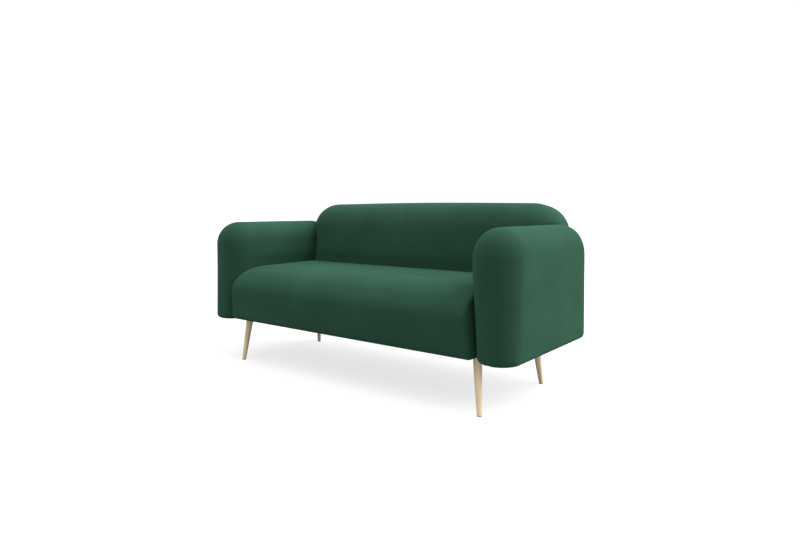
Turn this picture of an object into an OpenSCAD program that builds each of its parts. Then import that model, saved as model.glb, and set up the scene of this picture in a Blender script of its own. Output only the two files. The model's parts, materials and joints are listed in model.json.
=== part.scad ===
// Two-seat sofa: rounded arms, bench seat and reclined back on four splayed legs.
// Millimetres, +X to the right as seen from the front, +Y to the back, +Z up.
// The origin is on the floor, at the centre of the sofa's width and depth.

/* [Overall] */
// Width over the two arms
overall_w = 1700; // [1500:10:1900]
// Depth from the nose of the seat to the rear of the back
overall_d = 805; // [780:5:840]
// Height to the top of the back
overall_h = 790; // [770:5:820]
// Height of the underside of the seat and the back
base_z = 214; // [194:2:234]

/* [Arms] */
// Depth of an arm, front to rear
arm_d = 737; // [720:1:745]
// Height of the top of an arm above the floor
arm_top = 696; // [680:1:710]
// Thickness of an arm at the top
arm_t = 191; // [188:1:200]
// How much thinner an arm is at its foot, all on its inner side
arm_taper = 24; // [12:1:26]
// How far the underside of an arm hangs below the seat
arm_drop = 6; // [3:1:8]
// Radius of the edges round an arm's two broad faces
arm_edge = 92; // [80:1:94]
// Radius of the front top corner in the side view
arm_front_corner = 113; // [100:1:140]
// Radius of the rear top corner in the side view
arm_rear_corner = 128; // [100:1:140]
// Radius of the edge round the underside
arm_foot_edge = 20; // [20:1:36]
// How far the front of an arm stands behind the nose of the seat
arm_setback = 5.5; // [2:0.5:10]

/* [Seat] */
// Height of the seat where it meets the back
seat_h = 476; // [460:1:490]
// Height of the foremost line of the seat
seat_nose_z = 367; // [350:1:380]
// Depth of the rounded nose, front to the flat of the seat
seat_nose_d = 191; // [150:1:220]
// Height of the rounded nose above its foremost line
seat_nose_h = 105; // [90:1:108]
// Radius of the lower front edge
seat_foot_r = 28; // [20:1:50]
// How far the lower front edge stands behind the nose
seat_rake = 10; // [0:1:16]

/* [Back] */
// Thickness of the back, square to its face
back_t = 233; // [220:1:245]
// Width of the back above the arms
back_w = 1490; // [1400:10:1520]
// Angle that the back leans from upright
back_lean = 6.5; // [4:0.5:8]
// Radius of the top corners, and of the front edges
back_corner = 145; // [120:1:150]
// Radius of the rear edges
back_rear_edge = 24; // [16:1:30]
// Height at which the back's wings end behind the arms
wing_z = 600; // [580:5:640]

/* [Legs] */
// Diameter of a leg at its top
leg_top_d = 35; // [30:1:40]
// Diameter of a leg at its foot
leg_foot_d = 19; // [14:1:24]
// Splay of a leg, towards its own corner
leg_splay = 9; // [4:0.5:12]
// Distance of a leg's top from the sofa's centre line
leg_x = 661; // [655:1:664]
// Distance of a front leg's top from the centre of the depth
front_leg_y = 294; // [280:1:310]
// Distance of a rear leg's top from the centre of the depth
rear_leg_y = 188; // [170:1:200]
// Thickness of the glide under each leg
glide_h = 4; // [3:0.5:6]

/* [Frame] */
// Thickness of the front, rear and centre rails
rail_t = 25; // [20:1:30]
// Height of the seat rails
rail_h = 90; // [80:1:95]
// Thickness of the two side rails, which carry the legs
side_rail_t = 45; // [40:1:50]
// Thickness of the arm panels
panel_t = 12; // [9:1:15]
// Thickness of the arms' top and bottom boards
board_t = 18; // [15:1:20]
// Thickness of the posts in the arms and the back
post_t = 25; // [18:1:30]
// Number of zigzag springs
spring_count = 10; // [6:1:10]
// Diameter of the spring wire
spring_wire = 4; // [3:0.5:5]
// Number of bolts that hold each arm
arm_bolt_count = 3; // [2:1:4]

/* [Upholstery] */
// Thickness of the velvet covers
cover_t = 2; // [1.5:0.5:3]
// Thickness of the cloths that close the underside
cloth_t = 1; // [0.8:0.1:1.5]
// Clearance left between neighbouring pieces
gap = 0.3; // [0.2:0.1:0.5]

/* [Hidden] */

$fn = 64;
round_fn = 32;

velvet = [0.16, 0.37, 0.28];
foam_colour = [0.93, 0.88, 0.72];
pine = [0.85, 0.72, 0.52];
plywood = [0.78, 0.63, 0.43];
beech = [0.85, 0.74, 0.58];
steel = [0.62, 0.63, 0.65];
black_cloth = [0.08, 0.08, 0.08];
felt = [0.55, 0.55, 0.53];
grey_plastic = [0.5, 0.5, 0.48];
hardboard = [0.42, 0.3, 0.2];
webbing_colour = [0.15, 0.15, 0.16];

front_y = -overall_d / 2;
far = 2000;

// Arms, described for the right-hand one (positive X)
arm_out_x = overall_w / 2;
arm_in_x = arm_out_x - arm_t;
arm_foot_x = arm_in_x + arm_taper;
arm_base_z = base_z - arm_drop;
arm_front_y = front_y + arm_setback;
arm_rear_y = arm_front_y + arm_d;
arm_edge_foam = 76;
arm_inner_foam = 7;
arm_outer_foam = 12;
arm_frame_in = arm_foot_x + arm_inner_foam;
arm_frame_out = arm_out_x - arm_outer_foam;
arm_frame_front = arm_front_y + arm_edge_foam;
arm_frame_rear = arm_rear_y - arm_edge_foam;
arm_frame_top = arm_top - arm_edge_foam;
arm_panel_z = base_z + 22;
arm_post_z = base_z + 8;
arm_opening_rim = 14;
base_cloth_lap = 6;
arm_box_in = arm_frame_in + panel_t + gap;
arm_box_out = arm_frame_out - panel_t - gap;

// Seat frame, whose rear face has the same place for every size
frame_side_foam = 11;
rail_z = base_z + cover_t + gap;
rail_top = rail_z + rail_h;
frame_x = arm_foot_x - frame_side_foam;
frame_front = front_y + seat_rake + max(seat_foot_r, 40) + 1;
frame_rear = 268;
spring_z = rail_top + gap;
spring_pitch = 124;
spring_half_w = 24;
spring_period = 58;
clip_l = 16;
clip_h = spring_wire + 4;
pad_z = spring_z + clip_h + gap;
pad_t = 3;
pad_inset = 20;
foam_z = pad_z + pad_t + gap;
deck_z = foam_z + 12;
seat_opening_x = frame_x - side_rail_t - 2;
dust_cover_lap = 8;
block_leg = 60;
block_h = 35;

// Back, described upright with its rear face on Y = 0 and its foot on Z = 0, then leaned
back_h = (overall_h - base_z - back_corner - (back_t - back_corner) * sin(back_lean))
    / cos(back_lean) + back_corner;
back_reach = (back_h - back_rear_edge) * sin(back_lean) - back_rear_edge * cos(back_lean)
    + back_rear_edge;
back_y = overall_d / 2 - back_reach;
back_frame_rear = -27;
back_frame_front = -80;
back_post_x = 612;
back_inner_x = 215;
back_rail_x = 700;
back_foot_h = 3;
back_rail_h = 480;
back_panel_t = 3;
webbing_t = 2;
webbing_w = 50;
webbing_count = 5;
webbing_low = 150;
back_bottom_setback = 14;
back_frame_sink = 60;

// Legs
leg_top_z = base_z - gap;
leg_shift = tan(leg_splay) / sqrt(2);
leg_foot_x = leg_x + (leg_top_z - glide_h) * leg_shift;
leg_bolt_r = 4;
leg_bolt_l = 52;
leg_stub = 20;
insert_r = 6;
insert_l = 24;

// Bolts, and the room round them in wood, in a thread and in cloth and foam
wood_room = 0.5;
thread_room = 0.05;
foam_room = 1;
bolt_r = 4;
bolt_head_r = 7;
bolt_head_h = 5;
washer_r = 11;
washer_t = 2;
nut_r = 11;
nut_flange_t = 2;
nut_barrel_r = 5.5;
nut_barrel_l = 12;
nut_sink = 6;
bolt_past_nut = 4;
arm_bolt_z = rail_z + rail_h / 2;
arm_bolt_front = 105;
arm_bolt_rear = 125;
back_bolt_z = rail_z + 55;
back_bolt_xs = [-back_post_x + post_t / 2, -back_inner_x, back_inner_x, back_post_x - post_t / 2];

// Y of the back's front face at a given height
function back_face_y(z) = back_y - back_t / cos(back_lean) + (z - base_z) * tan(back_lean);

// Y of the face on which the back nuts' flanges lie, sunk into the posts
function back_nut_y() = back_y + back_frame_rear * cos(back_lean)
    + (back_bolt_z - base_z) * tan(back_lean) - nut_sink;

// X of an arm's inner face at a given height, up to where it turns upright
function arm_face_x(z) = arm_foot_x - arm_taper * (z - arm_base_z - arm_foot_edge)
    / (arm_top - 2 * arm_rear_corner + arm_edge - arm_base_z - arm_foot_edge);

// Y of arm bolt number i, evenly from the front to the rear of the side rail
function arm_bolt_y(i) = frame_front + arm_bolt_front
    + i * (frame_rear - frame_front - arm_bolt_front - arm_bolt_rear) / (arm_bolt_count - 1);

// X of spring number i
function spring_x(i) = (i - (spring_count - 1) / 2) * spring_pitch;

// Side profile of the seat as [y, z] points, drawn in from the outer surface by inset
function seat_profile(inset) = [
    for (a = [0 : 6 : 90]) [
        front_y + seat_nose_d - (seat_nose_d - inset) * cos(a),
        seat_nose_z + (seat_nose_h - inset) * sin(a)
    ],
    [back_face_y(seat_h) - gap - inset, seat_h - inset],
    [back_face_y(deck_z) - gap - inset, deck_z - inset],
    [frame_rear + cover_t + gap - inset, deck_z - inset],
    [frame_rear + cover_t + gap - inset, base_z + inset],
    for (a = [90 : -10 : 0]) [
        front_y + seat_rake + seat_foot_r - (seat_foot_r - inset) * cos(a),
        base_z + seat_foot_r - (seat_foot_r - inset) * sin(a)
    ]
];

// X of a zigzag spring's centre line at a given y
function spring_wave(y) = spring_half_w * sin(360 * y / spring_period);

// Box from a low corner to a high corner
module box(low, high) {
    translate(low) cube(high - low);
}

module both_sides() {
    children();
    mirror([1, 0, 0]) children();
}

module leaned() {
    translate([0, back_y, base_z]) rotate([-back_lean, 0, 0]) children();
}

// Disc whose rim is rounded to a given radius, axis along Z
module round_disc(r, edge) {
    rotate_extrude($fn = round_fn) intersection() {
        translate([r - edge, 0]) circle(edge, $fn = round_fn);
        translate([0, -edge]) square([r, 2 * edge]);
    }
}

// Right arm's outer form, drawn in by inset (negative grows it)
module arm_form(inset) {
    top_x = arm_out_x - arm_t / 2;
    edge = arm_edge - inset;
    foot_r = (arm_t - arm_taper) / 2;
    foot_x = arm_out_x - foot_r;
    slack = arm_t / 2 - arm_edge;
    hull() {
        for (side = [-slack, slack]) {
            translate([top_x + side, arm_front_y + arm_front_corner, arm_top - arm_front_corner])
                rotate([0, 90, 0]) round_disc(arm_front_corner - inset, edge);
            translate([top_x + side, arm_rear_y - arm_rear_corner, arm_top - arm_rear_corner])
                rotate([0, 90, 0]) round_disc(arm_rear_corner - inset, edge);
        }
        for (y = [arm_front_y + foot_r, arm_rear_y - foot_r])
            translate([foot_x, y, arm_base_z + arm_foot_edge])
                rotate_extrude($fn = round_fn) translate([foot_r - arm_foot_edge, 0])
                    circle(arm_foot_edge - inset, $fn = round_fn);
    }
}

// Space that an arm's frame fills
module arm_frame_space() {
    box([arm_frame_in - gap, arm_frame_front - gap, arm_panel_z - gap],
        [arm_frame_out + gap, arm_frame_rear + gap, arm_frame_top + gap]);
    box([arm_box_in - gap, arm_frame_front - gap, arm_base_z - 1],
        [arm_box_out + gap, arm_frame_rear + gap, arm_panel_z]);
}

// Rods along X at the arm bolts, on the right-hand side
module arm_bolt_rods(r, x0, x1) {
    for (i = [0 : arm_bolt_count - 1])
        translate([x0, arm_bolt_y(i), arm_bolt_z]) rotate([0, 90, 0]) cylinder(r = r, h = x1 - x0);
}

// Rods along Y at the back bolts
module back_bolt_rods(r, y0, y1) {
    for (x = back_bolt_xs)
        translate([x, y0, back_bolt_z]) rotate([-90, 0, 0]) cylinder(r = r, h = y1 - y0);
}

// Puts a child drawn along Z, with its origin at a leg's top centre, at one corner
module at_leg(side, end) {
    translate([side * leg_x, end < 0 ? -front_leg_y : rear_leg_y, leg_top_z])
        rotate([0, 0, atan2(end, side)]) rotate([0, -leg_splay, 0]) children();
}

module at_legs() {
    for (side = [-1, 1])
        for (end = [-1, 1])
            at_leg(side, end) children();
}

// ---- Seat ----

module seat_side_rail(side) {
    color(pine) difference() {
        box([side > 0 ? frame_x - side_rail_t : -frame_x, frame_front, rail_z],
            [side > 0 ? frame_x : side_rail_t - frame_x, frame_rear, rail_top]);
        at_legs() translate([0, 0, -leg_stub]) cylinder(r = insert_r + 0.1, h = leg_stub + insert_l + 8);
        both_sides() arm_bolt_rods(bolt_r + wood_room, frame_x - side_rail_t - 1, frame_x + 1);
    }
}

module seat_front_rail() {
    color(pine) box([-frame_x + side_rail_t + gap, frame_front, rail_z],
        [frame_x - side_rail_t - gap, frame_front + rail_t, rail_top]);
}

module seat_rear_rail() {
    color(pine) difference() {
        box([-frame_x + side_rail_t + gap, frame_rear - rail_t, rail_z],
            [frame_x - side_rail_t - gap, frame_rear, rail_top]);
        back_bolt_rods(bolt_r + wood_room, frame_rear - rail_t - 1, frame_rear + 1);
    }
}

module seat_centre_rail() {
    color(pine) box([-rail_t / 2, frame_front + rail_t + gap, rail_z],
        [rail_t / 2, frame_rear - rail_t - gap, rail_z + rail_h * 0.65]);
}

module seat_corner_blocks() {
    x = frame_x - side_rail_t - gap;
    color(pine) both_sides() {
        translate([x, frame_front + rail_t + gap, rail_z + 3])
            linear_extrude(block_h) polygon([[0, 0], [-block_leg, 0], [0, block_leg]]);
        translate([x, frame_rear - rail_t - gap, rail_z + 3])
            linear_extrude(block_h) polygon([[0, 0], [0, -block_leg], [-block_leg, 0]]);
    }
}

// One wave of wire, flat in the XY plane
module zigzag_spring() {
    reach = frame_rear - frame_front - rail_t;
    half = reach / 2;
    steps = round(reach / spring_period * 8);
    ys = [for (i = [0 : steps]) -half + reach * i / steps];
    tilt = function(y) atan(spring_half_w * 2 * PI / spring_period * cos(360 * y / spring_period));
    edge = function(y, s) [
        spring_wave(y) + s * spring_wire / 2 * cos(tilt(y)),
        y - s * spring_wire / 2 * sin(tilt(y))
    ];
    linear_extrude(spring_wire) polygon(concat(
        [for (y = ys) edge(y, 1)],
        [for (i = [steps : -1 : 0]) edge(ys[i], -1)]
    ));
}

module seat_springs() {
    middle = (frame_front + frame_rear) / 2;
    color(steel) for (i = [0 : spring_count - 1])
        translate([spring_x(i), middle, spring_z + (clip_h - spring_wire) / 2]) zigzag_spring();
}

module spring_clips() {
    clip_w = 30;
    clip_back = 3;
    middle = (frame_front + frame_rear) / 2;
    reach = frame_rear - frame_front - rail_t;
    end_x = spring_wave(reach / 2);
    slot = spring_wire + 2 * gap;
    color(steel) for (i = [0 : spring_count - 1])
        for (end = [-1, 1])
            translate([spring_x(i) + end * end_x, middle + end * reach / 2, spring_z]) difference() {
                translate([-clip_w / 2, -clip_l / 2, 0]) cube([clip_w, clip_l, clip_h]);
                translate([-clip_w / 2 - 1, end > 0 ? -clip_l : clip_back - clip_l / 2, (clip_h - slot) / 2])
                    cube([clip_w + 2, clip_l * 1.5 - clip_back, slot]);
            }
}

module spring_pad() {
    color(felt) box([-frame_x + pad_inset, frame_front + pad_inset / 4, pad_z],
        [frame_x - pad_inset, frame_rear - pad_inset / 4, pad_z + pad_t]);
}

// The seat's outer form between the arms, drawn in by inset
module seat_form(inset) {
    half = arm_face_x(base_z) - gap - inset;
    top_half = arm_face_x(overall_h) - gap - inset;
    intersection() {
        translate([-far / 2, 0, 0]) rotate([90, 0, 90])
            linear_extrude(far) polygon(seat_profile(inset));
        translate([0, far / 2, 0]) rotate([90, 0, 0]) linear_extrude(far)
            polygon([[-half, base_z], [half, base_z], [top_half, overall_h], [-top_half, overall_h]]);
    }
}

module seat_foam() {
    color(foam_colour) difference() {
        seat_form(cover_t + gap);
        box([-frame_x - gap, frame_front - gap, base_z - 1],
            [frame_x + gap, frame_rear + far, foam_z]);
        both_sides() arm_bolt_rods(bolt_r + foam_room, frame_x - 1, arm_in_x + arm_taper);
    }
}

module seat_cover() {
    color(velvet) difference() {
        seat_form(0);
        seat_form(cover_t);
        box([-seat_opening_x, frame_front + rail_t, base_z - 1],
            [seat_opening_x, frame_rear + far, rail_z + 1]);
        box([-seat_opening_x, frame_rear - 1, base_z - 1],
            [seat_opening_x, frame_rear + far, rail_top]);
        at_legs() translate([0, 0, -leg_stub]) cylinder(r = leg_bolt_r + foam_room, h = 2 * leg_stub);
        both_sides() arm_bolt_rods(bolt_r + foam_room, frame_x - 1, arm_in_x + arm_taper);
    }
}

module dust_cover() {
    half = seat_opening_x + dust_cover_lap;
    rear = back_y - 12;
    color(black_cloth) box([-half, frame_front + rail_t - dust_cover_lap, base_z - cloth_t - gap],
        [half, rear, base_z - gap]);
}

// ---- Back ----

// One corner of the back: a domed front rim and a tighter rear rim, drawn in by inset
module back_corner_form(inset) {
    translate([0, back_corner - back_t, 0]) rotate([90, 0, 0]) rotate_extrude($fn = round_fn)
        intersection() {
            circle(back_corner - inset, $fn = round_fn);
            square(back_corner);
        }
    translate([0, -back_rear_edge, 0]) rotate([90, 0, 0]) rotate_extrude($fn = round_fn)
        translate([back_corner - back_rear_edge, 0]) circle(back_rear_edge - inset, $fn = round_fn);
}

// The back's outer form, drawn in by inset, with room for the seat and both arms
module back_form(inset, foot_z) {
    side = arm_in_x - gap - inset;
    difference() {
        leaned() hull()
            for (x = [-1, 1] * (back_w / 2 - back_corner))
                for (z = [-back_corner, back_h - back_corner])
                    translate([x, 0, z]) back_corner_form(inset);
        both_sides() arm_form(-2 * gap - inset);
        both_sides() box([side, -far, -far], [far, far, wing_z + inset]);
        box([-far, -far, -far],
            [far, frame_rear + cover_t + 2 * gap + inset, deck_z + gap + inset]);
        box([-far, -far, -far], [far, far, foot_z]);
    }
}

module back_frame_space() {
    half = back_post_x + gap;
    rail_half = back_rail_x + gap;
    leaned() {
        box([-half, back_frame_front - webbing_t - 2 * gap, -back_frame_sink],
            [half, back_frame_rear + back_panel_t + 2 * gap, back_rail_h + gap]);
        box([-rail_half, back_frame_front - gap, back_rail_h - post_t - gap],
            [rail_half, back_frame_rear + gap, back_rail_h + gap]);
    }
}

module back_foam() {
    color(foam_colour) difference() {
        back_form(cover_t + gap, base_z);
        back_frame_space();
    }
}

module back_cover() {
    half = back_post_x + gap;
    color(velvet) difference() {
        back_form(0, base_z);
        back_form(cover_t, base_z - 1);
        box([-half, frame_rear - 1, base_z - 1], [half, back_y - cover_t - 4, deck_z + 20]);
    }
}

// Upright board of the back frame, its foot cut to stand flat against the rear rail
module back_post(x) {
    difference() {
        leaned() box([x - post_t / 2, back_frame_front, back_foot_h + post_t + gap],
            [x + post_t / 2, back_frame_rear, back_rail_h - post_t - gap]);
        box([-far, -far, -far], [far, frame_rear + gap, rail_top + 1]);
        box([-far, -far, -far], [far, frame_rear + cover_t + 2 * gap, deck_z + gap]);
        back_bolt_rods(bolt_r + wood_room, frame_rear - 1, back_y);
        back_bolt_rods(nut_barrel_r + 0.1, back_nut_y() - nut_barrel_l - 2, back_y);
    }
}

module back_end_post(side) {
    color(plywood) difference() {
        back_post(side * (back_post_x - post_t / 2));
        back_bolt_rods(nut_r + wood_room, back_nut_y(), back_y + 20);
    }
}

module back_inner_posts() {
    color(plywood) difference() {
        both_sides() back_post(back_inner_x);
        back_bolt_rods(nut_r + wood_room, back_nut_y(), back_y + 20);
    }
}

module back_top_rail() {
    color(plywood) leaned() box([-back_rail_x, back_frame_front, back_rail_h - post_t],
        [back_rail_x, back_frame_rear, back_rail_h]);
}

module back_bottom_rail() {
    color(plywood) leaned() box([-back_post_x, back_frame_front + back_bottom_setback, back_foot_h],
        [back_post_x, back_frame_rear, back_foot_h + post_t]);
}

module back_webbing() {
    pitch = (back_rail_h - post_t - webbing_w - webbing_low - 10) / (webbing_count - 1);
    color(webbing_colour) leaned() for (i = [0 : webbing_count - 1])
        translate([-back_post_x, back_frame_front - webbing_t - gap, webbing_low + i * pitch])
            cube([2 * back_post_x, webbing_t, webbing_w]);
}

module back_panel() {
    color(hardboard) leaned() translate([-back_post_x, back_frame_rear + gap, back_foot_h])
        cube([2 * back_post_x, back_panel_t, back_rail_h - back_foot_h]);
}

// ---- Arms, drawn on the right and mirrored for the left ----

module sided(side) {
    if (side > 0) children();
    else mirror([1, 0, 0]) children();
}

module arm_inner_panel(side) {
    color(plywood) sided(side) difference() {
        box([arm_frame_in, arm_frame_front, arm_panel_z],
            [arm_frame_in + panel_t, arm_frame_rear, arm_frame_top]);
        arm_bolt_rods(nut_barrel_r + 0.1, arm_frame_in - 1, arm_frame_in + panel_t + 1);
    }
}

module arm_outer_panel(side) {
    color(plywood) sided(side) box([arm_frame_out - panel_t, arm_frame_front, arm_panel_z],
        [arm_frame_out, arm_frame_rear, arm_frame_top]);
}

module arm_post(side, y) {
    color(pine) sided(side) box([arm_box_in, y, arm_post_z],
        [arm_box_out, y + post_t, arm_frame_top - board_t - gap]);
}

module arm_top_board(side) {
    color(pine) sided(side) box([arm_box_in, arm_frame_front, arm_frame_top - board_t],
        [arm_box_out, arm_frame_rear, arm_frame_top]);
}

module arm_bottom_board(side) {
    y0 = arm_frame_front + post_t + gap;
    y1 = arm_frame_rear - post_t - gap;
    color(pine) sided(side) box([arm_box_in, y0, arm_post_z], [arm_box_out, y1, arm_post_z + board_t]);
}

module arm_foam(side) {
    color(foam_colour) sided(side) difference() {
        arm_form(cover_t + gap);
        arm_frame_space();
        arm_bolt_rods(bolt_r + foam_room, arm_in_x - 1, arm_frame_in + 1);
    }
}

module arm_cover(side) {
    color(velvet) sided(side) difference() {
        arm_form(0);
        arm_form(cover_t);
        box([arm_box_in + arm_opening_rim, arm_frame_front - 4, arm_base_z - 1],
            [arm_box_out - arm_opening_rim, arm_frame_rear + 4, arm_base_z + cover_t + 1]);
        arm_bolt_rods(bolt_r + foam_room, arm_in_x - 1, arm_frame_in + 1);
    }
}

module arm_base_cloth(side) {
    inset = arm_opening_rim - base_cloth_lap;
    color(black_cloth) sided(side)
        box([arm_box_in + inset, arm_frame_front - 4 - base_cloth_lap, arm_base_z - cloth_t - gap],
            [arm_box_out - inset, arm_frame_rear + 4 + base_cloth_lap, arm_base_z - gap]);
}

// ---- Legs ----

module leg(side, end) {
    long = (leg_top_z + leg_stub) / cos(leg_splay);
    taper = (leg_top_d - leg_foot_d) / (leg_top_z - glide_h) * cos(leg_splay);
    color(beech) difference() {
        at_leg(side, end) translate([0, 0, -long])
            cylinder(d1 = leg_top_d - taper * long, d2 = leg_top_d + taper * leg_stub, h = long + leg_stub);
        box([-far, -far, leg_top_z], [far, far, far]);
        box([-far, -far, -far], [far, far, glide_h + 0.05]);
        at_leg(side, end) translate([0, 0, -leg_bolt_l / 2 - gap])
            cylinder(r = leg_bolt_r + thread_room, h = leg_bolt_l);
    }
}

module leg_bolts() {
    color(steel) at_legs() translate([0, 0, -leg_bolt_l / 2]) cylinder(r = leg_bolt_r, h = leg_bolt_l);
}

module leg_inserts() {
    color(steel) at_legs() translate([0, 0, cover_t + 4]) difference() {
        cylinder(r = insert_r, h = insert_l);
        translate([0, 0, -1]) cylinder(r = leg_bolt_r + thread_room, h = insert_l + 2);
    }
}

module leg_glides() {
    y = (leg_top_z - glide_h) * leg_shift;
    color(grey_plastic) both_sides() {
        translate([leg_foot_x, -front_leg_y - y, 0]) cylinder(d = leg_foot_d - 1, h = glide_h);
        translate([leg_foot_x, rear_leg_y + y, 0]) cylinder(d = leg_foot_d - 1, h = glide_h);
    }
}

// ---- Bolts ----

module arm_bolts() {
    head = frame_x - side_rail_t - washer_t - 2 * gap;
    color(steel) both_sides() {
        arm_bolt_rods(bolt_r, head, arm_frame_in + panel_t + bolt_past_nut + 2);
        arm_bolt_rods(bolt_head_r, head - bolt_head_h, head);
    }
}

module arm_bolt_washers() {
    face = frame_x - side_rail_t - gap;
    color(steel) both_sides() difference() {
        arm_bolt_rods(washer_r, face - washer_t, face);
        arm_bolt_rods(bolt_r + 0.4, face - washer_t - 1, face + 1);
    }
}

module arm_bolt_nuts() {
    face = arm_frame_in + panel_t + gap;
    color(steel) both_sides() difference() {
        union() {
            arm_bolt_rods(nut_r, face, face + nut_flange_t);
            arm_bolt_rods(nut_barrel_r, arm_frame_in + 2, face + 0.5);
        }
        arm_bolt_rods(bolt_r + thread_room, arm_frame_in, face + nut_flange_t + 1);
    }
}

module back_bolts() {
    head = frame_rear - rail_t - washer_t - 2 * gap;
    color(steel) {
        back_bolt_rods(bolt_r, head, back_nut_y() + bolt_past_nut);
        back_bolt_rods(bolt_head_r, head - bolt_head_h, head);
    }
}

module back_bolt_washers() {
    face = frame_rear - rail_t - gap;
    color(steel) difference() {
        back_bolt_rods(washer_r, face - washer_t, face);
        back_bolt_rods(bolt_r + 0.4, face - washer_t - 1, face + 1);
    }
}

module back_bolt_nuts() {
    face = back_nut_y() + gap;
    color(steel) difference() {
        union() {
            back_bolt_rods(nut_r, face, face + nut_flange_t);
            back_bolt_rods(nut_barrel_r, face - nut_barrel_l, face + 0.5);
        }
        back_bolt_rods(bolt_r + thread_room, face - nut_barrel_l - 2, face + nut_flange_t + 1);
    }
}

// Each node is drawn alone, or all of them together
seat_front_rail();
seat_rear_rail();
seat_side_rail(-1);  // seat_side_rail_left
seat_side_rail(1);  // seat_side_rail_right
seat_centre_rail();
seat_corner_blocks();
seat_springs();
spring_clips();
spring_pad();
seat_foam();
seat_cover();
dust_cover();
back_end_post(-1);  // back_post_left
back_end_post(1);  // back_post_right
back_inner_posts();
back_top_rail();
back_bottom_rail();
back_webbing();
back_panel();
back_foam();
back_cover();
arm_inner_panel(-1);  // arm_left_inner_panel
arm_outer_panel(-1);  // arm_left_outer_panel
arm_post(-1, arm_frame_front);  // arm_left_front_post
arm_post(-1, arm_frame_rear - post_t);  // arm_left_rear_post
arm_top_board(-1);  // arm_left_top_board
arm_bottom_board(-1);  // arm_left_bottom_board
arm_foam(-1);  // arm_left_foam
arm_cover(-1);  // arm_left_cover
arm_base_cloth(-1);  // arm_left_base_cloth
arm_inner_panel(1);  // arm_right_inner_panel
arm_outer_panel(1);  // arm_right_outer_panel
arm_post(1, arm_frame_front);  // arm_right_front_post
arm_post(1, arm_frame_rear - post_t);  // arm_right_rear_post
arm_top_board(1);  // arm_right_top_board
arm_bottom_board(1);  // arm_right_bottom_board
arm_foam(1);  // arm_right_foam
arm_cover(1);  // arm_right_cover
arm_base_cloth(1);  // arm_right_base_cloth
leg(-1, -1);  // leg_front_left
leg(1, -1);  // leg_front_right
leg(-1, 1);  // leg_rear_left
leg(1, 1);  // leg_rear_right
leg_bolts();
leg_inserts();
leg_glides();
arm_bolts();
arm_bolt_washers();
arm_bolt_nuts();
back_bolts();
back_bolt_washers();
back_bolt_nuts();
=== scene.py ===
"""Velvet two-seat sofa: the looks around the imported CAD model. Metres, in the CAD frame."""
import json
import math

import bpy
import numpy as np
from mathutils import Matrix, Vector


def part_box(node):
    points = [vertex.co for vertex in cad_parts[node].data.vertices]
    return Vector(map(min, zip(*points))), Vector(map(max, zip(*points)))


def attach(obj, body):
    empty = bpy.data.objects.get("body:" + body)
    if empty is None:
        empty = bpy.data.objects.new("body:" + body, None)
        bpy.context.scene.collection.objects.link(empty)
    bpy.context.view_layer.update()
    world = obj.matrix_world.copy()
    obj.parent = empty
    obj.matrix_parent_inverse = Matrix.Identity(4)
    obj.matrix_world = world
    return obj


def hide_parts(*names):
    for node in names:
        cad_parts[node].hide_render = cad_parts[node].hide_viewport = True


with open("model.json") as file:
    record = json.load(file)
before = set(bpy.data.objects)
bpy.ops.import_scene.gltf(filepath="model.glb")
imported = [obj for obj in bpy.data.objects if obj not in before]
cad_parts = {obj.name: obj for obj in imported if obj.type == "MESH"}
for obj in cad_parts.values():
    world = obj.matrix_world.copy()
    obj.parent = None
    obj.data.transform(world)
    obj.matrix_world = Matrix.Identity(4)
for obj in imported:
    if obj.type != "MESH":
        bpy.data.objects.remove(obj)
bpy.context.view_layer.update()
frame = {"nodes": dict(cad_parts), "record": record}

# ---- Camera ----

CAMERA_PLACE = (1.785, -2.2085, 0.7585)
CAMERA_TURN = 37.85   # degrees to the left of straight ahead
CAMERA_TILT = 2.72    # degrees down
CAMERA_LENS = 27.0    # millimetres, on a 36 mm sensor
CAMERA_RISE = -0.0357


def make_camera():
    data = bpy.data.cameras.new("camera")
    data.sensor_width = 36.0
    data.lens = CAMERA_LENS
    data.shift_y = CAMERA_RISE
    data.dof.use_dof = False
    camera = bpy.data.objects.new("camera", data)
    camera.location = CAMERA_PLACE
    camera.rotation_euler = (math.radians(90 - CAMERA_TILT), 0, math.radians(CAMERA_TURN))
    bpy.context.collection.objects.link(camera)
    bpy.context.scene.camera = camera


make_camera()

# ---- Measures of the upholstery, from the frame and from the sofa's proportions ----

ARM_LOW, ARM_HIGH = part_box("arm_right_cover")
SEAT_LOW, SEAT_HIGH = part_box("seat_cover")
BACK_LOW, BACK_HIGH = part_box("back_cover")

ARM_TAPER = 0.024
ARM_TAPER_FROM = 0.228
ARM_TAPER_TO = 0.532
ARM_EDGE = 0.092
ARM_FRONT_CORNER = 0.113
ARM_REAR_CORNER = 0.128
ARM_FOOT_EDGE = 0.020
ARM_MIDDLE = (ARM_LOW.x + ARM_HIGH.x) / 2

SEAT_NOSE_Z = 0.367
SEAT_NOSE_DEPTH = 0.191
SEAT_NOSE_HEIGHT = 0.105
SEAT_FOOT_R = 0.028
SEAT_RAKE = 0.010
SEAT_END_EDGE = 0.012
SEAT_BULGE = 0.008         # of the front face, forward in the middle
SEAT_BULGE_AT = 0.320
SEAT_BULGE_REACH = 0.110
SEAT_CROWN = 0.004
SEAT_CROWN_AT = 0.35       # behind the nose
SEAT_CROWN_REACH = 0.35
SEAT_BULGE_FADE = 0.2      # towards the middle of the depth, so that the rear stays straight
SEAT_CROWN_FADE = 0.15     # towards the underside, so that it stays flat
SEAT_BACK_EDGE = 0.002     # where the seat is cut to the crowned face of the back
SEAT_DECK_Z = 0.330        # below this the seat runs on under the back, round the frame
SEAT_REAR_LAP = 0.004      # past the CAD seat, so that its corner hides the frame
SEAT_REAR = SEAT_HIGH.y + SEAT_REAR_LAP

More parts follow.
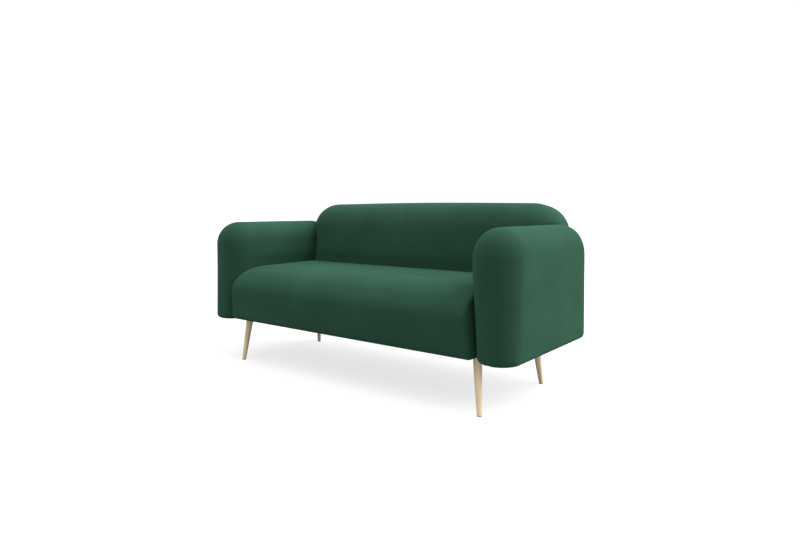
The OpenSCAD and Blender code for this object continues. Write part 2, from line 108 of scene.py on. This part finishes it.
BACK_LEAN = math.radians(6.5)
BACK_THICK = 0.233
BACK_CORNER = 0.145
BACK_REAR_EDGE = 0.024
BACK_WING_Z = 0.600
BACK_WING_EDGE = 0.030
BACK_CUT_EDGE = 0.014      # where the back meets the arms
BACK_FOOT_EDGE = 0.012
BACK_FRAME_EDGE = 0.008    # where the back meets the seat's lower rear
BACK_CROWN = 0.024
BACK_CROWN_AT = 0.31       # up the back's front face, from its foot
BACK_CROWN_REACH = 0.25
BACK_TOP_CROWN = 0.0065
BACK_SHOULDER_DROP = 0.002

MESH_STEP = 0.009
MARGIN = 0.02
CREVICE = 0.0005
START_SMALLER = 0.0008     # how far inside its field a piece starts, before it swells
SWELL_PRESSURE = 4
SWELL_QUALITY = 4
SWELL_MASS = 0.3
SWELL_CAP = 0.005
SWELL_FRAMES = 20
SWELL_SPREAD = 20          # rounds of evening out, so that the swelling leaves no crumples
SWELL_CLEAR = 0.004        # no swelling this near to a neighbour
SWELL_FREE = 0.064         # full swelling this far from every neighbour
SEAM_WIDTH = 0.0035
SEAM_DEPTH = 0.0012
PUCKER = 0.0004
PUCKER_LENGTH = 0.022
PUCKER_REACH = 0.012
PUCKER_GAP = 0.003

CLOTH_STEP = 0.008
CLOTH_THICK = 0.0005
CLOTH_SAG = 0.004
CLOTH_FULL_SAG_WIDTH = 0.5
CLOTH_BELOW = 0.0003       # under the top of the cloth's CAD node
TACK_PITCH = 0.055
TACK_REACH = 0.030
TACK_DEPTH = 0.0006


# ---- Distance fields: negative inside, positive outside ----

def round_max(a, b, r):
    """Where both fields hold, with the edge between them rounded to radius r."""
    beyond = np.hypot(np.maximum(a + r, 0), np.maximum(b + r, 0))
    return np.minimum(np.maximum(a, b), -r) + beyond


def hump(t):
    """1 at t = 0, falling smoothly to 0 at t = -1 and 1."""
    return np.clip(1 - t * t, 0, None) ** 2


def polygon_field(u, v, corners):
    """Signed distance to a closed polygon in the plane."""
    best = np.full(u.shape, 1e9)
    sign = np.ones(u.shape)
    for (ax, ay), (bx, by) in zip(corners, corners[1:] + corners[:1]):
        ex, ey = bx - ax, by - ay
        wx, wy = u - ax, v - ay
        t = np.clip((wx * ex + wy * ey) / (ex * ex + ey * ey), 0, 1)
        best = np.minimum(best, (wx - ex * t) ** 2 + (wy - ey * t) ** 2)
        above, below, left = v >= ay, v < by, ex * wy > ey * wx
        flips = (above & below & left) | (~above & ~below & ~left)
        sign = np.where(flips, -sign, sign)
    return sign * np.sqrt(best)


def arm_inner_x(z):
    """How far out the inner face of an arm stands at height z."""
    t = np.clip((z - ARM_TAPER_FROM) / (ARM_TAPER_TO - ARM_TAPER_FROM), 0, 1)
    return ARM_LOW.x + ARM_TAPER * (1 - t)


def arm_field(p):
    x, y, z = np.abs(p[:, 0]), p[:, 1], p[:, 2]
    side = round_max(ARM_LOW.y - y, z - ARM_HIGH.z, ARM_FRONT_CORNER)
    side = round_max(side, y - ARM_HIGH.y, ARM_REAR_CORNER)
    inner = arm_inner_x(z)
    half = (ARM_HIGH.x - inner) / 2
    thick = np.abs(x - (ARM_HIGH.x + inner) / 2) - half
    body = round_max(side, thick, np.minimum(ARM_EDGE, half - 0.001))
    return round_max(body, ARM_LOW.z - z, ARM_FOOT_EDGE)


def above(height):
    """A field that rises from a level plane, which keeps an underside flat."""
    return lambda p: p[:, 2] - height


def back_face_y(z):
    """Where the flat of the back's front face stands at height z."""
    return BACK_FOOT_Y - BACK_THICK / math.cos(BACK_LEAN) + (z - BACK_LOW.z) * math.tan(BACK_LEAN)


BACK_SHOULDER_Z = BACK_HIGH.z - BACK_SHOULDER_DROP
BACK_RISE = BACK_SHOULDER_Z - BACK_LOW.z - BACK_CORNER - (BACK_THICK - BACK_CORNER) * math.sin(BACK_LEAN)
BACK_TALL = BACK_RISE / math.cos(BACK_LEAN) + BACK_CORNER
BACK_EDGE_REACH = BACK_REAR_EDGE * (1 - math.cos(BACK_LEAN))
BACK_FOOT_Y = BACK_HIGH.y - (BACK_TALL - BACK_REAR_EDGE) * math.sin(BACK_LEAN) - BACK_EDGE_REACH


def seat_outline():
    """Side profile of the seat as (y, z) corners, from the nose over the top and round underneath."""
    front = SEAT_LOW.y
    nose = [(front + SEAT_NOSE_DEPTH * (1 - math.cos(a)), SEAT_NOSE_Z + SEAT_NOSE_HEIGHT * math.sin(a))
            for a in np.radians(np.linspace(0, 90, 25))]
    rear = [(back_face_y(z) - CREVICE, z) for z in (SEAT_HIGH.z, SEAT_DECK_Z)]
    rear += [(SEAT_REAR, z) for z in (SEAT_DECK_Z, SEAT_LOW.z)]
    foot = [(front + SEAT_RAKE + SEAT_FOOT_R * (1 - math.cos(a)),
             SEAT_LOW.z + SEAT_FOOT_R * (1 - math.sin(a)))
            for a in np.radians(np.linspace(90, 0, 10))]
    return nose + rear + foot


SEAT_OUTLINE = seat_outline()


def seat_field(p):
    x, y, z = np.abs(p[:, 0]), p[:, 1], p[:, 2]
    bulge = SEAT_BULGE * hump(x / ARM_LOW.x) * hump((z - SEAT_BULGE_AT) / SEAT_BULGE_REACH)
    crown = SEAT_CROWN * hump(x / ARM_LOW.x) * hump((y - SEAT_LOW.y - SEAT_CROWN_AT) / SEAT_CROWN_REACH)
    bulge *= smooth_step(-y / SEAT_BULGE_FADE)
    crown *= smooth_step((z - SEAT_LOW.z) / SEAT_CROWN_FADE)
    profile = polygon_field(y + bulge, z - crown, SEAT_OUTLINE)
    body = round_max(profile, x - (arm_inner_x(z) - CREVICE), SEAT_END_EDGE)
    return round_max(body, CREVICE - back_field(p), SEAT_BACK_EDGE)


def in_back(p):
    """How far a point lies behind the rear face, negative in the back, and its height along it."""
    y, z = p[:, 1] - BACK_FOOT_Y, p[:, 2] - BACK_LOW.z
    return (y * math.cos(BACK_LEAN) - z * math.sin(BACK_LEAN),
            y * math.sin(BACK_LEAN) + z * math.cos(BACK_LEAN))


def back_field(p):
    x = np.abs(p[:, 0])
    depth, tall = in_back(p)
    spread = hump(x / BACK_HIGH.x)
    crown = BACK_CROWN * spread * hump((tall - BACK_CROWN_AT) / BACK_CROWN_REACH)
    rim = round_max(x - BACK_HIGH.x, tall - BACK_TALL - BACK_TOP_CROWN * spread, BACK_CORNER)
    full = round_max(round_max(rim, -BACK_THICK - crown - depth, BACK_CORNER), depth, BACK_REAR_EDGE)
    wings = round_max(full, BACK_WING_Z - p[:, 2], BACK_WING_EDGE)
    column = round_max(full, x - (ARM_LOW.x - CREVICE), BACK_CUT_EDGE)
    column = round_max(column, BACK_LOW.z - p[:, 2], BACK_FOOT_EDGE)
    frame_room = np.maximum(p[:, 1] - SEAT_REAR, p[:, 2] - SEAT_DECK_Z)
    column = round_max(column, CREVICE - frame_room, BACK_FRAME_EDGE)
    body = np.minimum(wings, column)
    return round_max(body, CREVICE - arm_field(p), BACK_CUT_EDGE)


# ---- From a distance field to an even mesh ----

def slope(field, p, reach=0.0008):
    grad = np.empty_like(p)
    for axis in range(3):
        shift = np.zeros(3)
        shift[axis] = reach
        grad[:, axis] = (field(p + shift) - field(p - shift)) / (2 * reach)
    return grad


def onto(field, p, rounds=2):
    """Moves points along the field's slope until they lie on its surface."""
    for _ in range(rounds):
        grad = slope(field, p)
        length2 = np.maximum((grad ** 2).sum(1), 0.05)
        p = p - (field(p) / length2)[:, None] * grad
    return p


def net(field, low, high, step):
    """Quads over the surface of a field, one point in each grid cell that it crosses."""
    count = [int(math.ceil((b - a) / step)) + 1 for a, b in zip(low, high)]
    lines = [a + step * np.arange(n) for a, n in zip(low, count)]
    grid = np.stack(np.meshgrid(*lines, indexing="ij"), -1).reshape(-1, 3)
    inside = (field(grid) < 0).reshape(count)
    cells = np.zeros([n - 1 for n in count], int)
    for i in (0, 1):
        for j in (0, 1):
            for k in (0, 1):
                cells += inside[i:count[0] - 1 + i, j:count[1] - 1 + j, k:count[2] - 1 + k]
    crossed = (cells > 0) & (cells < 8)
    number = np.full(crossed.shape, -1)
    number[crossed] = np.arange(crossed.sum())
    points = np.array(low) + step * (np.argwhere(crossed) + 0.5)
    quads = []
    for axis in range(3):
        a, b = [n for n in range(3) if n != axis]
        here = np.take(inside, range(count[axis] - 1), axis)
        there = np.take(inside, range(1, count[axis]), axis)
        edges = np.argwhere(here != there)
        edges = edges[(edges[:, a] > 0) & (edges[:, b] > 0)]
        out = here[tuple(edges.T)]
        ring = []
        for da, db in ((1, 1), (0, 1), (0, 0), (1, 0)):
            cell = edges.copy()
            cell[:, a] -= da
            cell[:, b] -= db
            ring.append(number[tuple(cell.T)])
        ring = np.stack(ring, 1)
        turned = out if axis == 1 else ~out
        ring[turned] = ring[turned][:, ::-1]
        quads.append(ring)
    return points, np.concatenate(quads)


def spread(values, edges, rounds):
    """Evens out a value per point over the mesh."""
    n = len(values)
    degree = np.bincount(edges.ravel(), minlength=n)[:, None]
    for _ in range(rounds):
        total = np.stack([
            np.bincount(edges[:, 0], column[edges[:, 1]], n)
            + np.bincount(edges[:, 1], column[edges[:, 0]], n) for column in values.T], 1)
        values = values * 0.4 + 0.6 * total / degree
    return values


def even_out(points, quads, field, rounds, keep=None):
    """Slides the points over the surface until the quads are even. keep holds points to the plane x."""
    edges = np.concatenate([quads[:, [0, 1]], quads[:, [1, 2]], quads[:, [2, 3]], quads[:, [3, 0]]])
    edges = np.unique(np.sort(edges, 1), axis=0)
    for _ in range(rounds):
        points = spread(points, edges, 1)
        points = onto(field, points, 1)
        if keep is not None:
            points[keep[0], 0] = keep[1]
    return onto(field, points, 2)


def mesh_object(name, points, quads):
    data = bpy.data.meshes.new(name)
    data.from_pydata(points.tolist(), [], quads.tolist())
    data.validate()
    for face in data.polygons:
        face.use_smooth = True
    made = bpy.data.objects.new(name, data)
    bpy.context.collection.objects.link(made)
    return made


def skin(name, field, low, high, held_x=None):
    """A piece of upholstery over a field. held_x is a plane whose points stay in it, for a seam."""
    def smaller(p):
        return field(p) + START_SMALLER

    low, high = [c - MARGIN for c in low], [c + MARGIN for c in high]
    if held_x is not None:
        low[0] = held_x - MESH_STEP * (math.ceil((held_x - low[0]) / MESH_STEP) + 0.5)
    points, quads = net(smaller, low, high, MESH_STEP)
    keep = None
    if held_x is not None:
        keep = (np.abs(points[:, 0] - held_x) < MESH_STEP / 4, held_x)
    points = onto(smaller, points, 3)
    points = even_out(points, quads, smaller, 8, keep)
    piece = mesh_object(name, points, quads)
    return piece, ([] if keep is None else np.flatnonzero(keep[0]).tolist())


def points_of(mesh):
    flat = np.empty(len(mesh.vertices) * 3)
    mesh.vertices.foreach_get("co", flat)
    return flat.reshape(-1, 3)


def normals_of(mesh):
    flat = np.empty(len(mesh.vertices) * 3)
    mesh.vertices.foreach_get("normal", flat)
    return flat.reshape(-1, 3)


def place_points(mesh, points):
    mesh.vertices.foreach_set("co", points.ravel())
    mesh.update()


def smooth_step(t):
    t = np.clip(t, 0, 1)
    return t * t * (3 - 2 * t)


def edges_of(mesh):
    flat = np.empty(len(mesh.edges) * 2, np.int32)
    mesh.edges.foreach_get("vertices", flat)
    return flat.reshape(-1, 2)


def swell(piece, pinned, neighbours):
    """Blows the piece up a little as cloth, held back at its seam and where it meets its neighbours."""
    scene = bpy.context.scene
    seam = piece.vertex_groups.new(name="seam")
    seam.add(pinned, 1.0, "REPLACE")
    cloth = piece.modifiers.new("swell", "CLOTH")
    cloth.settings.quality = SWELL_QUALITY
    cloth.settings.mass = SWELL_MASS
    cloth.settings.use_pressure = True
    cloth.settings.uniform_pressure_force = SWELL_PRESSURE
    cloth.settings.effector_weights.gravity = 0
    cloth.settings.vertex_group_mass = "seam"
    cloth.collision_settings.use_collision = False
    cloth.point_cache.frame_end = SWELL_FRAMES
    for frame_number in range(1, SWELL_FRAMES + 1):
        scene.frame_set(frame_number)
    start = points_of(piece.data)
    shown = piece.evaluated_get(bpy.context.evaluated_depsgraph_get())
    move = points_of(shown.to_mesh()) - start
    shown.to_mesh_clear()
    piece.modifiers.remove(cloth)
    scene.frame_set(1)
    outward = normals_of(piece.data)
    edges = edges_of(piece.data)
    rise = spread((move * outward).sum(1)[:, None], edges, SWELL_SPREAD)
    rise = SWELL_CAP * np.tanh(np.clip(rise, 0, None) / SWELL_CAP)
    rise = spread(rise, edges, 2 * SWELL_SPREAD)[:, 0]
    for field in neighbours:
        rise *= smooth_step((field(start) - SWELL_CLEAR) / (SWELL_FREE - SWELL_CLEAR))
    place_points(piece.data, start + outward * rise[:, None])


def subdivide(piece):
    smooth = piece.modifiers.new("smooth", "SUBSURF")
    smooth.levels = smooth.render_levels = 1
    shown = piece.evaluated_get(bpy.context.evaluated_depsgraph_get())
    finer = bpy.data.meshes.new_from_object(shown)
    piece.modifiers.remove(smooth)
    piece.data = finer


def sew(piece, away, along):
    """Sinks a seam into the piece. away(p) is the distance from the seam, along(p) the length on it."""
    points, normals = points_of(piece.data), normals_of(piece.data)
    gap, run = away(points), along(points)
    groove = -SEAM_DEPTH * np.exp(-(gap / SEAM_WIDTH) ** 2 / 2)
    wave = np.sin(run * 2 * math.pi / PUCKER_LENGTH + 2.5 * np.sin(run * 9) + 1.7 * np.sin(run * 23))
    pucker = PUCKER * wave * np.exp(-gap / PUCKER_REACH) * (1 - np.exp(-gap / PUCKER_GAP))
    place_points(piece.data, points + normals * (groove + pucker)[:, None])


# ---- Materials ----

def material(name):
    made = bpy.data.materials.new(name)
    made.use_nodes = True
    nodes, links = made.node_tree.nodes, made.node_tree.links
    shader = nodes["Principled BSDF"]
    place = nodes.new("ShaderNodeTexCoord")
    return made, nodes, links, shader, place


def noise(nodes, links, place, scale, detail=4.0, stretch=None):
    """Noise in object coordinates. stretch scales it along each axis first."""
    texture = nodes.new("ShaderNodeTexNoise")
    texture.inputs["Scale"].default_value = scale
    texture.inputs["Detail"].default_value = detail
    source = place.outputs["Object"]
    if stretch:
        mapping = nodes.new("ShaderNodeMapping")
        mapping.inputs["Scale"].default_value = stretch
        links.new(source, mapping.inputs["Vector"])
        source = mapping.outputs["Vector"]
    links.new(source, texture.inputs["Vector"])
    return texture.outputs["Fac"]


def ramp(nodes, links, source, stops):
    made = nodes.new("ShaderNodeValToRGB")
    made.color_ramp.elements[0].position = stops[0][0]
    made.color_ramp.elements[0].color = (*stops[0][1], 1)
    made.color_ramp.elements[1].position = stops[-1][0]
    made.color_ramp.elements[1].color = (*stops[-1][1], 1)
    for position, colour in stops[1:-1]:
        made.color_ramp.elements.new(position).color = (*colour, 1)
    links.new(source, made.inputs["Fac"])
    return made.outputs["Color"]


def bump(nodes, links, shader, sources, distance):
    """Adds up heights, each a (socket, share) pair, into the shader's normal."""
    total = None
    for socket, share in sources:
        part = nodes.new("ShaderNodeMath")
        part.operation = "MULTIPLY_ADD"
        part.inputs[1].default_value = share
        part.inputs[2].default_value = 0.0
        links.new(socket, part.inputs[0])
        if total is not None:
            links.new(total, part.inputs[2])
        total = part.outputs[0]
    made = nodes.new("ShaderNodeBump")
    made.inputs["Distance"].default_value = distance
    links.new(total, made.inputs["Height"])
    links.new(made.outputs["Normal"], shader.inputs["Normal"])


def velvet():
    """Short pile, with a painted sheen in its base colour: darker where it faces the eye and lighter
    where it is seen aslant.
    """
    made, nodes, links, shader, place = material("green_velvet")
    cloud = noise(nodes, links, place, 6.0, 4.0)
    colour = ramp(nodes, links, cloud, [(0.3, VELVET_DARK), (0.7, VELVET_LIGHT)])
    # Painted sheen: the base colour is scaled from 1.0 where the surface faces the eye up to 1.8 where
    # it is seen aslant.
    painted_sheen_facing = nodes.new("ShaderNodeLayerWeight")
    painted_sheen_facing.inputs["Blend"].default_value = 0.5
    painted_sheen_gain = nodes.new("ShaderNodeMapRange")
    painted_sheen_gain.inputs["To Min"].default_value = 1.0
    painted_sheen_gain.inputs["To Max"].default_value = 1.8
    links.new(painted_sheen_facing.outputs["Facing"], painted_sheen_gain.inputs["Value"])
    sheen_painted_colour = nodes.new("ShaderNodeVectorMath")
    sheen_painted_colour.operation = "SCALE"
    links.new(colour, sheen_painted_colour.inputs[0])
    links.new(painted_sheen_gain.outputs["Result"], sheen_painted_colour.inputs["Scale"])
    links.new(sheen_painted_colour.outputs[0], shader.inputs["Base Color"])
    shader.inputs["Roughness"].default_value = 0.9
    shader.inputs["Specular IOR Level"].default_value = 0.05
    shader.inputs["Sheen Weight"].default_value = 0.1
    shader.inputs["Sheen Roughness"].default_value = 0.5
    shader.inputs["Sheen Tint"].default_value = (0.09, 0.27, 0.17, 1)
    pile = noise(nodes, links, place, 900.0, 2.0)
    patches = noise(nodes, links, place, 60.0, 3.0)
    bump(nodes, links, shader, [(pile, 0.35), (patches, 0.65)], 0.0006)
    return made


def wood(name, light, dark, along):
    """Wood with its grain running along one axis (0, 1 or 2)."""
    made, nodes, links, shader, place = material(name)
    stretch = [26.0, 26.0, 26.0]
    stretch[along] = 2.2
    grain = noise(nodes, links, place, 3.0, 6.0, stretch)
    fine = noise(nodes, links, place, 22.0, 3.0, stretch)
    mid = tuple((a + b) / 2 for a, b in zip(light, dark))
    colour = ramp(nodes, links, grain, [(0.30, dark), (0.48, mid), (0.62, light)])
    links.new(colour, shader.inputs["Base Color"])
    rough = nodes.new("ShaderNodeMapRange")
    rough.inputs["To Min"].default_value = 0.42
    rough.inputs["To Max"].default_value = 0.6
    links.new(fine, rough.inputs["Value"])
    links.new(rough.outputs["Result"], shader.inputs["Roughness"])
    bump(nodes, links, shader, [(grain, 0.4), (fine, 0.6)], 0.0003)
    return made


def mottled(name, low, high, scale, roughness, metallic=0.0, height=0.0004):
    """A plain stuff whose colour and surface vary a little."""
    made, nodes, links, shader, place = material(name)
    coarse = noise(nodes, links, place, scale, 4.0)
    fine = noise(nodes, links, place, scale * 9, 2.0)
    links.new(ramp(nodes, links, coarse, [(0.3, low), (0.7, high)]), shader.inputs["Base Color"])
    shader.inputs["Roughness"].default_value = roughness
    shader.inputs["Metallic"].default_value = metallic
    bump(nodes, links, shader, [(coarse, 0.3), (fine, 0.7)], height)
    return made


# ---- Pieces ----

VELVET_DARK = (0.0160, 0.0480, 0.0305)
VELVET_LIGHT = (0.0188, 0.0562, 0.0356)
VELVET = velvet()


def dress(piece, finish, replaced):
    piece.data.materials.append(finish)
    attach(piece, "root")
    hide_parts(*replaced)


def mirrored(piece):
    """Turns a piece for the right side into one for the left."""
    points = points_of(piece.data)
    points[:, 0] *= -1
    place_points(piece.data, points)
    piece.data.flip_normals()


def make_arm(side, name):
    arm, seam = skin(name + "_velvet", arm_field, ARM_LOW, ARM_HIGH, ARM_MIDDLE)
    swell(arm, seam, [seat_field, back_field, above(ARM_LOW.z)])
    subdivide(arm)
    sew(arm, lambda p: np.abs(p[:, 0] - ARM_MIDDLE), lambda p: p[:, 1] + p[:, 2])
    if side < 0:
        mirrored(arm)
    dress(arm, VELVET, [name + "_cover", name + "_foam"])


def make_seat():
    seat, seam = skin("seat_velvet", seat_field, SEAT_LOW, SEAT_HIGH)
    swell(seat, seam, [arm_field, back_field, above(SEAT_LOW.z)])
    subdivide(seat)
    dress(seat, VELVET, ["seat_cover", "seat_foam"])


def make_back():
    back, seam = skin("back_velvet", back_field, BACK_LOW, BACK_HIGH)
    swell(back, seam, [arm_field, seat_field, above(BACK_LOW.z)])
    subdivide(back)
    sew(back, lambda p: np.abs(in_back(p)[0] + BACK_REAR_EDGE), lambda p: p[:, 0] + p[:, 2])
    dress(back, VELVET, ["back_cover", "back_foam"])


def make_cloth(node):
    """A cloth stretched over an underside and tacked along its edges, sagging a little between."""
    low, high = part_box(node)
    size = high - low
    count = [int(length / CLOTH_STEP) + 1 for length in size[:2]]
    x, y = np.meshgrid(*[np.linspace(0, 1, n) for n in count], indexing="ij")
    edge_x, edge_y = np.minimum(x, 1 - x) * size.x, np.minimum(y, 1 - y) * size.y
    tacks = (np.cos(y * size.y * 2 * math.pi / TACK_PITCH) * np.exp(-edge_x / TACK_REACH)
             + np.cos(x * size.x * 2 * math.pi / TACK_PITCH) * np.exp(-edge_y / TACK_REACH))
    sag = CLOTH_SAG * min(1, size.x / CLOTH_FULL_SAG_WIDTH) * hump(2 * x - 1) * hump(2 * y - 1)
    z = high.z - CLOTH_BELOW - sag - TACK_DEPTH * (1 - tacks / 2)
    number = np.arange(x.size).reshape(count)
    corners = [number[:-1, :-1], number[:-1, 1:], number[1:, 1:], number[1:, :-1]]
    quads = np.stack(corners, -1).reshape(-1, 4)
    points = np.stack([low.x + x * size.x, low.y + y * size.y, z], -1).reshape(-1, 3)
    cloth = mesh_object(node + "_sheet", points, quads)
    thick = cloth.modifiers.new("thick", "SOLIDIFY")
    thick.thickness = CLOTH_THICK
    thick.offset = 1
    dress(cloth, FINISHES["underside_cloth"], [node])


make_arm(-1, "arm_left")
make_arm(1, "arm_right")
make_seat()
make_back()

FINISHES = {
    "leg_wood": wood("pale_beech", (0.92, 0.74, 0.47), (0.80, 0.60, 0.36), 2),
    "pine": wood("pine", (0.74, 0.55, 0.32), (0.55, 0.36, 0.18), 0),
    "plywood": wood("plywood", (0.66, 0.48, 0.28), (0.46, 0.30, 0.15), 0),
    "hardboard": mottled("hardboard", (0.10, 0.05, 0.03), (0.18, 0.10, 0.06), 40, 0.7),
    "underside_cloth": mottled("black_cloth", (0.010, 0.010, 0.011), (0.022, 0.022, 0.024), 300, 0.95),
    "felt": mottled("grey_felt", (0.13, 0.13, 0.12), (0.24, 0.24, 0.22), 120, 0.95),
    "webbing": mottled("webbing", (0.010, 0.010, 0.012), (0.030, 0.030, 0.034), 400, 0.8),
    "steel": mottled("zinc_steel", (0.48, 0.49, 0.51), (0.62, 0.63, 0.65), 60, 0.35, 1.0, 0.0001),
    "glide_plastic": mottled("grey_nylon", (0.30, 0.30, 0.28), (0.36, 0.36, 0.34), 90, 0.5),
    "foam": mottled("foam", (0.80, 0.72, 0.48), (0.90, 0.82, 0.60), 90, 0.9),
    "velvet": VELVET,
}


def finish_cad_nodes():
    for row in frame["record"]["subparts"]:
        node = frame["nodes"][row["node"]]
        node.data.materials.clear()
        node.data.materials.append(FINISHES[row["material_slot"]])


finish_cad_nodes()
make_cloth("dust_cover")
make_cloth("arm_left_base_cloth")
make_cloth("arm_right_base_cloth")

# ---- Studio ----


def add_sun(name, azimuth, elevation, spread_angle, strength):
    """A soft sun. Azimuth 0 shines from the front and 90 from the right, in degrees."""
    data = bpy.data.lights.new(name, "SUN")
    data.angle = math.radians(spread_angle)
    data.energy = strength
    lamp = bpy.data.objects.new(name, data)
    a, e = math.radians(azimuth), math.radians(elevation)
    toward = Vector((math.sin(a) * math.cos(e), -math.cos(a) * math.cos(e), math.sin(e)))
    lamp.rotation_euler = toward.to_track_quat("Z", "Y").to_euler()
    bpy.context.collection.objects.link(lamp)


def seen_as(nodes, links, socket, seen, lighting):
    """Gives the backdrop one brightness to look at and another to light the sofa with."""
    path = nodes.new("ShaderNodeLightPath")
    choice = nodes.new("ShaderNodeMapRange")
    choice.inputs["To Min"].default_value = lighting
    choice.inputs["To Max"].default_value = seen
    links.new(path.outputs["Is Camera Ray"], choice.inputs["Value"])
    links.new(choice.outputs["Result"], socket)


def make_floor():
    data = bpy.data.meshes.new("floor")
    reach = FLOOR_REACH
    data.from_pydata([(-reach, -reach, 0), (reach, -reach, 0), (reach, reach, 0), (-reach, reach, 0)],
                     [], [(0, 1, 2, 3)])
    floor = bpy.data.objects.new("floor", data)
    bpy.context.collection.objects.link(floor)
    paint, nodes, links, shader, _ = material("pale_floor")
    shader.inputs["Base Color"].default_value = (FLOOR_BOUNCE, FLOOR_BOUNCE, FLOOR_BOUNCE, 1)
    shader.inputs["Roughness"].default_value = 1.0
    shader.inputs["Specular IOR Level"].default_value = 0.0
    shader.inputs["Emission Color"].default_value = (1, 1, 1, 1)
    seen_as(nodes, links, shader.inputs["Emission Strength"], FLOOR_SEEN, 0.0)
    floor.data.materials.append(paint)


def make_world():
    """A white backdrop that lights the sofa only dimly."""
    world = bpy.data.worlds.new("studio")
    bpy.context.scene.world = world
    world.use_nodes = True
    nodes, links = world.node_tree.nodes, world.node_tree.links
    seen_as(nodes, links, nodes["Background"].inputs["Strength"], WORLD_SEEN, AMBIENT)
    nodes["Background"].inputs["Color"].default_value = (1, 1, 1, 1)


AMBIENT = 0.62
WORLD_SEEN = 1.05
FLOOR_BOUNCE = 0.34
FLOOR_SEEN = 0.72
FLOOR_REACH = 60
SOFTNESS = 50
make_floor()
make_world()
add_sun("front_sun", 0, 64, SOFTNESS, 1.28)
add_sun("right_sun", 90, 55, SOFTNESS, 0.97)
add_sun("rear_sun", 130, 35, SOFTNESS, 2.89)
bpy.context.scene.view_settings.view_transform = "Standard"
